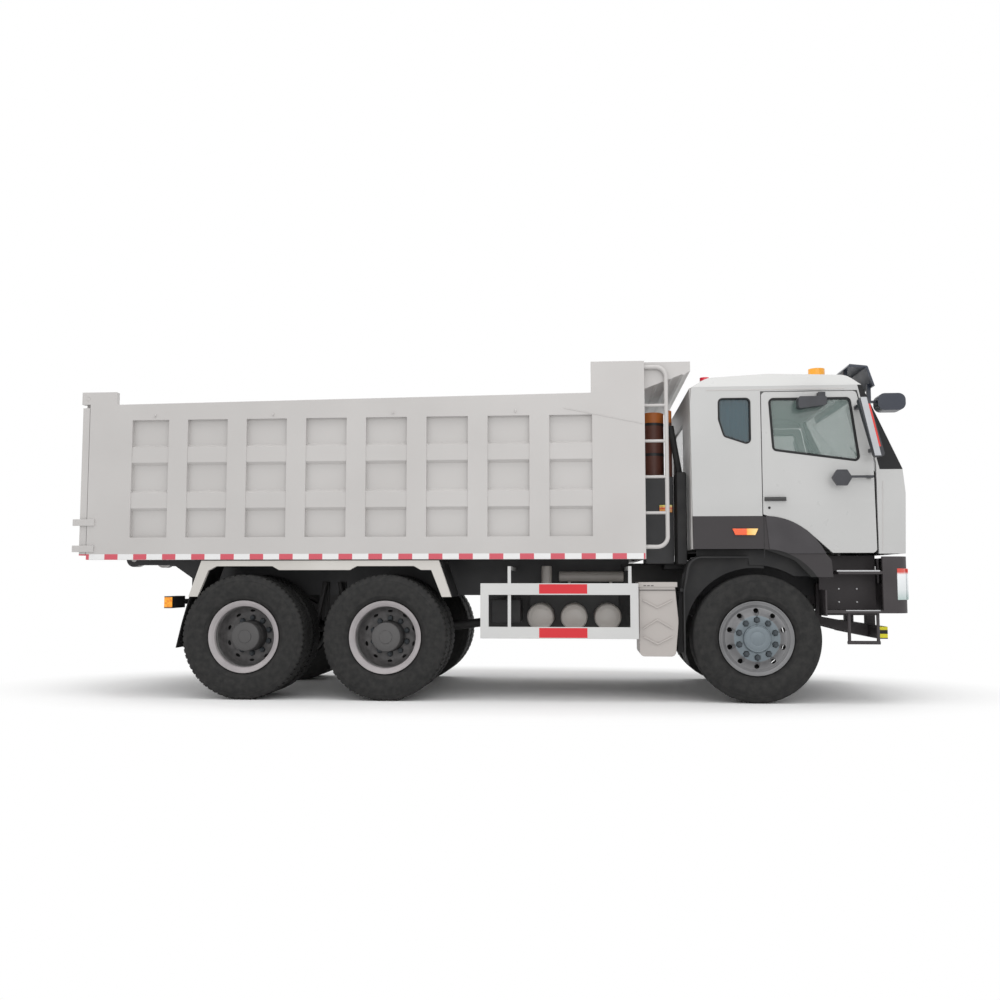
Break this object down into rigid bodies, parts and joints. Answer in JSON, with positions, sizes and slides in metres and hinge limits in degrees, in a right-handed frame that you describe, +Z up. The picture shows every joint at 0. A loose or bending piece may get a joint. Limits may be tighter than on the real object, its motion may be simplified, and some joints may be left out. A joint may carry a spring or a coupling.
{
  "type": "dump truck",
  "caption": "Cab-over dump truck with a ribbed steel tipping bed, canopy over the cab, steered front axle and a twin-wheeled rear bogie.",
  "frame": {"origin": "on the ground, halfway along and across the truck", "axes": "+X drives forward, +Y is the truck's left, +Z up"},
  "size_m": [7.745, 2.8, 3.126],
  "materials": {
    "body_white": "gloss",
    "chassis_black": "satin",
    "dark_plastic": "matt",
    "flap_rubber": "matt",
    "lamp_red": "gloss",
    "tank_grey": "gloss",
    "box_grey": "satin",
    "canister_orange": "satin",
    "window_glass": "clear",
    "seat_cloth": "woven",
    "stage_chrome": "polished",
    "wheel_silver": "satin",
    "tyre_rubber": "matt"
  },
  "bodies": {
    "chassis": {"chassis_frame": "chassis_black", "tipping_subframe": "chassis_black", "front_axle": "chassis_black", "driven_axles": "chassis_black", "leaf_springs": "chassis_black", "engine": "chassis_black", "propeller_shafts": "chassis_black", "front_bumper": "dark_plastic", "steps": "dark_plastic", "front_mudguards": "dark_plastic", "rear_fenders": "body_white", "mud_flaps": "flap_rubber", "tail_lamps": "lamp_red", "side_guards": "body_white", "air_tanks": "tank_grey", "battery_box": "box_grey", "fuel_tank": "chassis_black", "oil_tank": "chassis_black", "air_cleaner": "canister_orange"},
    "knuckle_left": {"knuckle_left": "chassis_black"},
    "knuckle_right": {"knuckle_right": "chassis_black"},
    "tie_rod": {"tie_rod": "chassis_black"},
    "cab": {"cab_sides": "body_white", "cab_roof": "body_white", "cab_floor": "body_white", "cab_rear_wall": "body_white", "cab_front_panel": "body_white", "cab_glass": "window_glass", "sun_visor": "dark_plastic", "seats": "seat_cloth", "dashboard": "dark_plastic"},
    "bed": {"bed_floor": "body_white", "bed_side_left": "body_white", "bed_side_right": "body_white", "bed_headboard": "body_white", "bed_ladder": "body_white"},
    "tailgate": {"tailgate": "body_white"},
    "hoist_barrel": {"hoist_barrel": "chassis_black"},
    "hoist_stage_1": {"hoist_stage_1": "stage_chrome"},
    "hoist_stage_2": {"hoist_stage_2": "stage_chrome"},
    "hoist_stage_3": {"hoist_stage_3": "stage_chrome"},
    "hoist_cover": {"hoist_cover": "chassis_black"},
    "door_left": {"door_left": "body_white", "door_glass_left": "window_glass", "door_mirror_left": "dark_plastic"},
    "front_wheel_left": {"front_wheel_left": "wheel_silver", "front_tyre_left": "tyre_rubber"},
    "twin_wheel_middle_left": {"twin_wheel_middle_left": "wheel_silver", "twin_tyres_middle_left": "tyre_rubber"},
    "twin_wheel_rear_left": {"twin_wheel_rear_left": "wheel_silver", "twin_tyres_rear_left": "tyre_rubber"},
    "door_right": {"door_right": "body_white", "door_glass_right": "window_glass", "door_mirror_right": "dark_plastic"},
    "front_wheel_right": {"front_wheel_right": "wheel_silver", "front_tyre_right": "tyre_rubber"},
    "twin_wheel_middle_right": {"twin_wheel_middle_right": "wheel_silver", "twin_tyres_middle_right": "tyre_rubber"},
    "twin_wheel_rear_right": {"twin_wheel_rear_right": "wheel_silver", "twin_tyres_rear_right": "tyre_rubber"}
  },
  "joints": [
    {"name": "steer_left", "type": "hinge", "parent": "chassis", "child": "knuckle_left", "pos_m": [2.485, 0.93, 0.575], "axis": [0, 0, 1], "range_deg": [-32, 32]},
    {"name": "front_wheel_left_spin", "type": "hinge", "parent": "knuckle_left", "child": "front_wheel_left", "pos_m": [2.485, 1.017, 0.575], "axis": [0, 1, 0], "continuous": true},
    {"name": "twin_wheel_middle_left_spin", "type": "hinge", "parent": "chassis", "child": "twin_wheel_middle_left", "pos_m": [-0.885, 0.92, 0.575], "axis": [0, 1, 0], "continuous": true},
    {"name": "twin_wheel_rear_left_spin", "type": "hinge", "parent": "chassis", "child": "twin_wheel_rear_left", "pos_m": [-2.215, 0.92, 0.575], "axis": [0, 1, 0], "continuous": true},
    {"name": "door_left_open", "type": "hinge", "parent": "cab", "child": "door_left", "pos_m": [3.545, 1.18, 2], "axis": [0, 0, -1], "range_deg": [0, 70]},
    {"name": "steer_right", "type": "hinge", "parent": "chassis", "child": "knuckle_right", "pos_m": [2.485, -0.93, 0.575], "axis": [0, 0, 1], "range_deg": [-32, 32]},
    {"name": "front_wheel_right_spin", "type": "hinge", "parent": "knuckle_right", "child": "front_wheel_right", "pos_m": [2.485, -1.017, 0.575], "axis": [0, 1, 0], "continuous": true},
    {"name": "twin_wheel_middle_right_spin", "type": "hinge", "parent": "chassis", "child": "twin_wheel_middle_right", "pos_m": [-0.885, -0.92, 0.575], "axis": [0, 1, 0], "continuous": true},
    {"name": "twin_wheel_rear_right_spin", "type": "hinge", "parent": "chassis", "child": "twin_wheel_rear_right", "pos_m": [-2.215, -0.92, 0.575], "axis": [0, 1, 0], "continuous": true},
    {"name": "door_right_open", "type": "hinge", "parent": "cab", "child": "door_right", "pos_m": [3.545, -1.18, 2], "axis": [0, 0, 1], "range_deg": [0, 70]},
    {"name": "tie_rod_swing", "type": "hinge", "parent": "knuckle_left", "child": "tie_rod", "pos_m": [2.32, 0.85, 0.42], "axis": [0, 0, 1], "range_deg": [-32.5, 32.5]},
    {"name": "cab_tilt", "type": "hinge", "parent": "chassis", "child": "cab", "pos_m": [3.745, 0, 0.88], "axis": [0, 1, 0], "range_deg": [0, 45]},
    {"name": "bed_tip", "type": "hinge", "parent": "chassis", "child": "bed", "pos_m": [-3.635, 0, 1.31], "axis": [0, -1, 0], "range_deg": [0, 48]},
    {"name": "tailgate_swing", "type": "hinge", "parent": "bed", "child": "tailgate", "pos_m": [-3.765, 0, 2.822], "axis": [0, 1, 0], "range_deg": [0, 70]},
    {"name": "hoist_lean", "type": "hinge", "parent": "chassis", "child": "hoist_barrel", "pos_m": [1.68, 0, 1.1], "axis": [0, -1, 0], "range_deg": [0, 23.89]},
    {"name": "hoist_stage_1_slide", "type": "slide", "parent": "hoist_barrel", "child": "hoist_stage_1", "axis": [0, 0, 1], "range_m": [0, 1.0845]},
    {"name": "hoist_stage_2_slide", "type": "slide", "parent": "hoist_stage_1", "child": "hoist_stage_2", "axis": [0, 0, 1], "range_m": [0, 1.0845]},
    {"name": "hoist_stage_3_slide", "type": "slide", "parent": "hoist_stage_2", "child": "hoist_stage_3", "axis": [0, 0, 1], "range_m": [0, 1.0845]},
    {"name": "hoist_cover_slide", "type": "slide", "parent": "hoist_stage_3", "child": "hoist_cover", "axis": [0, 0, 1], "range_m": [0, 1.0845]}
  ],
  "couplings": [
    {"joint": "steer_right", "follows": "steer_left", "ratio": 1},
    {"joint": "tie_rod_swing", "follows": "steer_left", "ratio": -1},
    {"joint": "hoist_lean", "follows": "bed_tip", "ratio": 0.48733},
    {"joint": "hoist_stage_1_slide", "follows": "bed_tip", "m_per_rad": 1.2826},
    {"joint": "hoist_stage_2_slide", "follows": "bed_tip", "m_per_rad": 1.2826},
    {"joint": "hoist_stage_3_slide", "follows": "bed_tip", "m_per_rad": 1.2826},
    {"joint": "hoist_cover_slide", "follows": "bed_tip", "m_per_rad": 1.2826}
  ]
}
